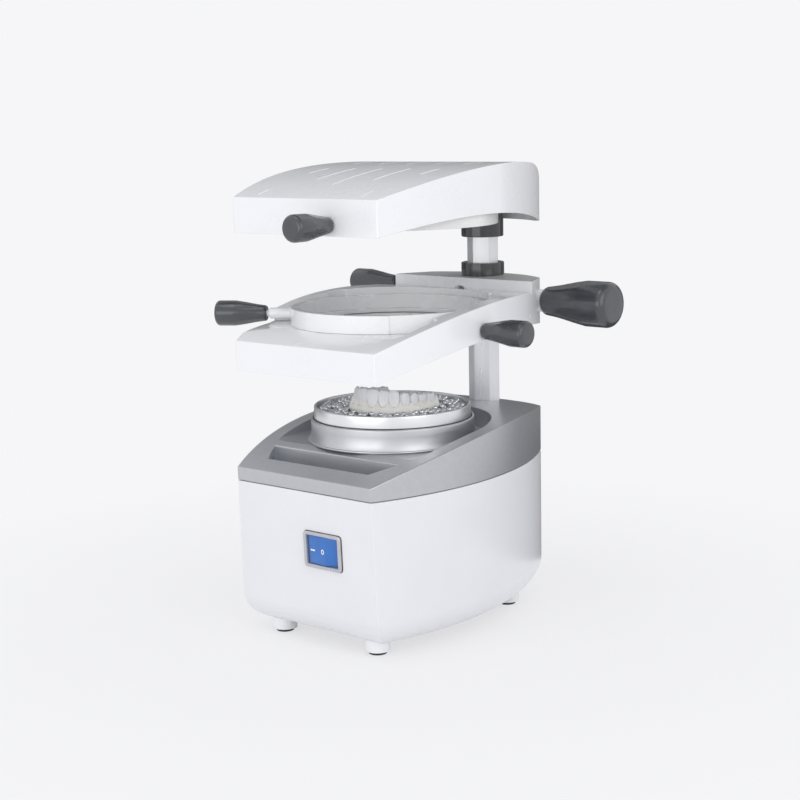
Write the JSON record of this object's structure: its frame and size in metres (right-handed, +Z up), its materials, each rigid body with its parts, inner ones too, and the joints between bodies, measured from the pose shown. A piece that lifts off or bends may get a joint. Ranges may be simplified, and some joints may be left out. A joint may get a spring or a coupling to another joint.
{
  "type": "dental vacuum former",
  "caption": "Tabletop dental vacuum former with a swinging heater head, a sheet frame on a hexagonal column and a pellet pan.",
  "frame": {"origin": "on the table, in the middle of the footprint with all handles", "axes": "+Z up along the column, +X to the right of someone in front of the switch, -Y towards them"},
  "size_m": [0.2362, 0.253, 0.3209],
  "materials": {
    "white_body": "satin white paint-smooth shell",
    "white_enamel": "white stove enamel",
    "cover_grey": "metallic grey lacquer",
    "turret_metal": "satin turned",
    "pan_metal": "bright turned",
    "steel_balls": "polished balls",
    "plaster": "dental stone, matte",
    "clear_sheet": "clear forming sheet",
    "black_gloss": "black, glossy",
    "rubber": "matte black",
    "polished_steel": "polished",
    "plate_steel": "plain sheet",
    "rear_plastic": "light grey",
    "dark_plastic": "dark grey",
    "cast_alloy": "as cast",
    "white_ceramic": "plain",
    "switch_grey": "satin grey",
    "switch_blue": "blue, glossy",
    "pad_brass": "plain",
    "heater_rod": "heat-tinted"
  },
  "bodies": {
    "base": {"base_housing": "white_body", "rear_panel": "rear_plastic", "bottom_plate": "plate_steel", "top_cover": "cover_grey", "turret": "turret_metal", "pan_gasket": "rubber", "vacuum_duct": "dark_plastic", "fan_housing": "dark_plastic", "motor_body": "plate_steel", "motor_bracket": "plate_steel", "terminal_block": "white_ceramic", "fuse_holder": "dark_plastic", "cord_gland": "dark_plastic", "switch_frame": "switch_grey", "column_foot": "cast_alloy", "column": "polished_steel", "column_bolt": "polished_steel", "column_washer": "polished_steel", "column_nut": "polished_steel", "foot_front_left": "white_body", "foot_front_right": "white_body", "foot_rear_left": "white_body", "foot_rear_right": "white_body", "sole_front_left": "rubber", "sole_front_right": "rubber", "sole_rear_left": "rubber", "sole_rear_right": "rubber"},
    "rocker": {"rocker": "switch_blue"},
    "fan": {"impeller": "dark_plastic", "motor_shaft": "polished_steel"},
    "pan": {"pellet_pan": "pan_metal", "pellets": "steel_balls"},
    "cast": {"dental_cast": "plaster"},
    "carriage": {"sheet_frame": "white_body", "frame_bush": "black_gloss", "lower_bush": "black_gloss", "guide_pin": "polished_steel", "sheet_gasket": "rubber", "plastic_sheet": "clear_sheet", "left_handle_stud": "polished_steel", "left_handle_knob": "black_gloss", "right_handle_stud": "polished_steel", "right_handle_knob": "black_gloss", "clamp_pad": "pad_brass"},
    "clamp_screw": {"clamp_knob": "black_gloss", "clamp_stud": "polished_steel"},
    "ring": {"clamp_ring": "white_body", "ring_stub": "white_body", "ring_knob": "black_gloss"},
    "heater": {"heater_shell": "white_body", "heater_bracket": "plate_steel", "heater_bush": "black_gloss", "heater_dish": "white_enamel", "reflector": "cast_alloy", "heating_element": "heater_rod", "element_insulators": "white_ceramic", "heater_stud": "polished_steel", "heater_knob": "black_gloss"}
  },
  "joints": [
    {"name": "rocker_tilt", "type": "hinge", "parent": "base", "child": "rocker", "pos_m": [0.0142, -0.0853, 0.07069], "axis": [0, -0.0389, 0.9992], "range_deg": [-10, 0]},
    {"name": "fan_spin", "type": "hinge", "parent": "base", "child": "fan", "pos_m": [-0.0023, 0.0017, 0.085], "axis": [0, 0, 1], "continuous": true},
    {"name": "pan_lift", "type": "slide", "parent": "base", "child": "pan", "axis": [0, 0, 1], "range_m": [0, 0.02]},
    {"name": "cast_lift", "type": "slide", "parent": "pan", "child": "cast", "axis": [0, 0, 1], "range_m": [0, 0.015]},
    {"name": "carriage_slide", "type": "slide", "parent": "base", "child": "carriage", "axis": [0, 0, 1], "range_m": [-0.06, 0.018], "deforming": ["plastic_sheet"]},
    {"name": "clamp_turn", "type": "hinge", "parent": "carriage", "child": "clamp_screw", "pos_m": [0.0577, 0.1074, 0.22], "axis": [1, 0, 0], "range_deg": [0, 180]},
    {"name": "ring_turn", "type": "hinge", "parent": "carriage", "child": "ring", "pos_m": [-0.0023, 0.0017, 0.2112], "axis": [0, 0, 1], "range_deg": [0, 24]},
    {"name": "heater_swing", "type": "hinge", "parent": "base", "child": "heater", "pos_m": [-0.0023, 0.1074, 0.28], "axis": [0, 0, 1], "range_deg": [-90, 90]}
  ]
}
